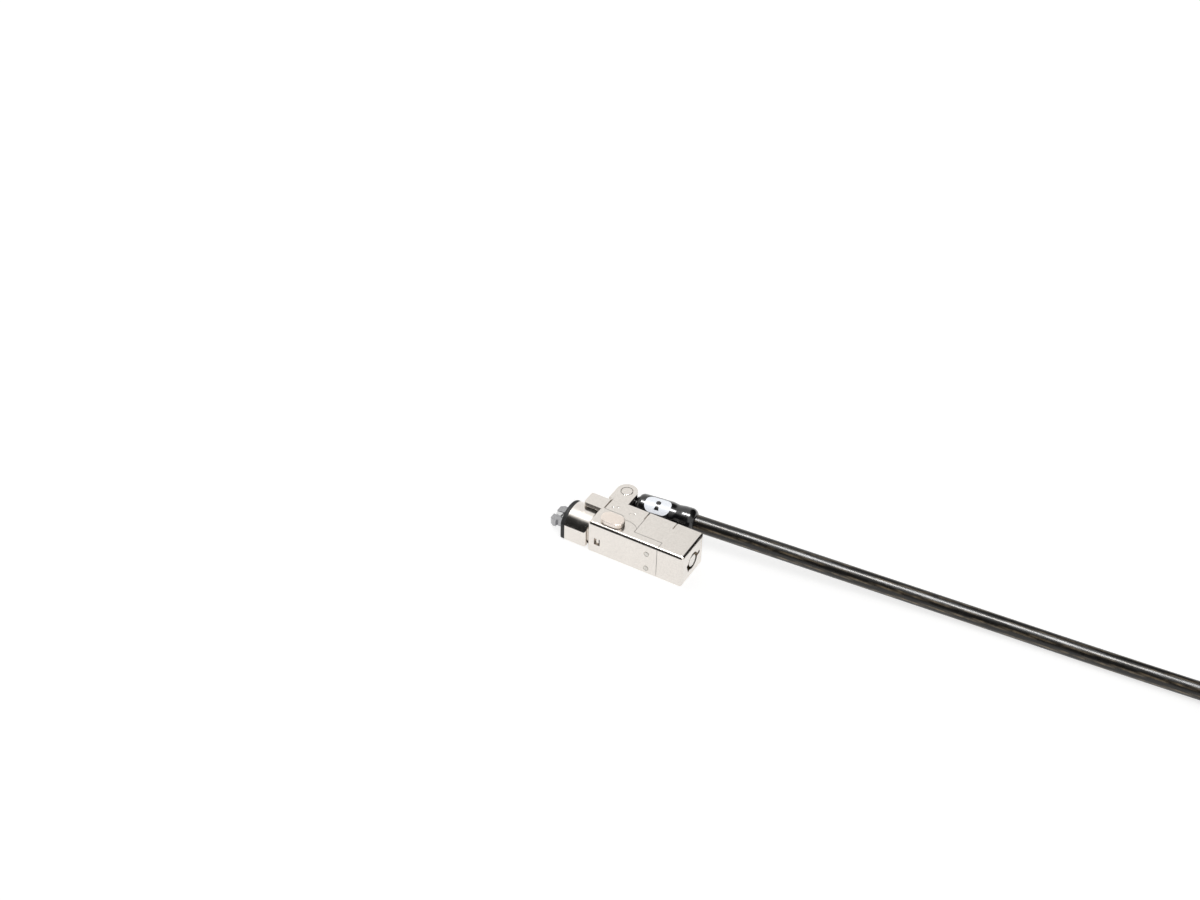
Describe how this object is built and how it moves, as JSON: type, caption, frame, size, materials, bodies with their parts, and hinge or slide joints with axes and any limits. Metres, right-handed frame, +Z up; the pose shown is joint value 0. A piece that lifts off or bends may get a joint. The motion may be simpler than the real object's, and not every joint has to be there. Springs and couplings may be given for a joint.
{
  "type": "laptop cable lock",
  "caption": "Slim keyed laptop cable lock: spring slider with spreading claws, swinging cable boot, sheathed steel cable wound in a tied hank with a crimped end loop.",
  "frame": {"origin": "centre of the body's flat base, on the surface that the lock lies on", "axes": "+X from the nose to the key end, +Y towards the cable's side, +Z up out of the thumb slider's face"},
  "size_m": [0.2933, 0.0433, 0.0247],
  "materials": {
    "nickel": "satin nickel plated die casting",
    "steel": "hardened steel, satin",
    "brass": "turned brass",
    "rubber": "matt black rubber",
    "boot": "glossy black moulding",
    "mark": "white print",
    "sheath": "smoked clear vinyl over steel strand",
    "strap": "black woven strap"
  },
  "bodies": {
    "lock_body": {"front_housing": "nickel", "rear_housing": "nickel", "cable_bracket": "nickel", "pivot_pin": "steel", "dowel_pins": "steel", "claw_cage": "steel", "hook_pins": "steel", "hook_spring": "steel", "nose_spring": "steel", "slider_spring": "steel", "lock_sleeve": "brass", "pin_block": "brass", "driver_pins": "brass", "driver_springs": "steel", "cylinder_pin": "steel"},
    "nose": {"nose_collar": "nickel", "bumper_pad": "rubber"},
    "slider": {"thumb_slider": "nickel", "slide_bar": "steel", "slider_rivet": "steel", "spreader_blade": "steel"},
    "far_claw": {"far_hook": "steel"},
    "near_claw": {"near_hook": "steel"},
    "core": {"key_core": "brass", "key_pins": "brass", "locking_cam": "steel", "cam_clip": "steel"},
    "cable_arm": {"cable_eye": "steel", "cable_boot": "boot", "boot_badge": "mark", "cable_ferrule": "steel", "strand_end": "steel", "cable": "sheath", "cable_tail": "sheath", "cable_hank": "sheath", "hank_tie": "strap", "end_loop": "sheath", "loop_sleeve": "steel"}
  },
  "joints": [
    {"name": "nose_press", "type": "slide", "parent": "lock_body", "child": "nose", "axis": [1, 0, 0], "range_m": [0, 0.0004], "stiffness_N_per_m": 4000, "deforming": ["nose_spring"]},
    {"name": "slider_pull", "type": "slide", "parent": "lock_body", "child": "slider", "axis": [1, 0, 0], "range_m": [0, 0.0025], "stiffness_N_per_m": 400, "deforming": ["slider_spring"]},
    {"name": "far_claw_spread", "type": "hinge", "parent": "lock_body", "child": "far_claw", "pos_m": [-0.0175, 0.00148, 0.0025], "axis": [0, 0, 1], "range_deg": [0, 4.5]},
    {"name": "near_claw_spread", "type": "hinge", "parent": "lock_body", "child": "near_claw", "pos_m": [-0.0175, -0.00248, 0.0025], "axis": [0, 0, 1], "range_deg": [-4.5, 0]},
    {"name": "key_turn", "type": "hinge", "parent": "lock_body", "child": "core", "pos_m": [0.0142, 0, 0.0049], "axis": [1, 0, 0], "range_deg": [-90, 0]},
    {"name": "cable_swing", "type": "hinge", "parent": "lock_body", "child": "cable_arm", "pos_m": [-0.0114, 0.01035, 0.00585], "axis": [0, 0, 1], "range_deg": [-5, 160]}
  ],
  "couplings": [
    {"joint": "far_claw_spread", "follows": "slider_pull", "rad_per_m": 31.4},
    {"joint": "near_claw_spread", "follows": "slider_pull", "rad_per_m": -31.4}
  ]
}
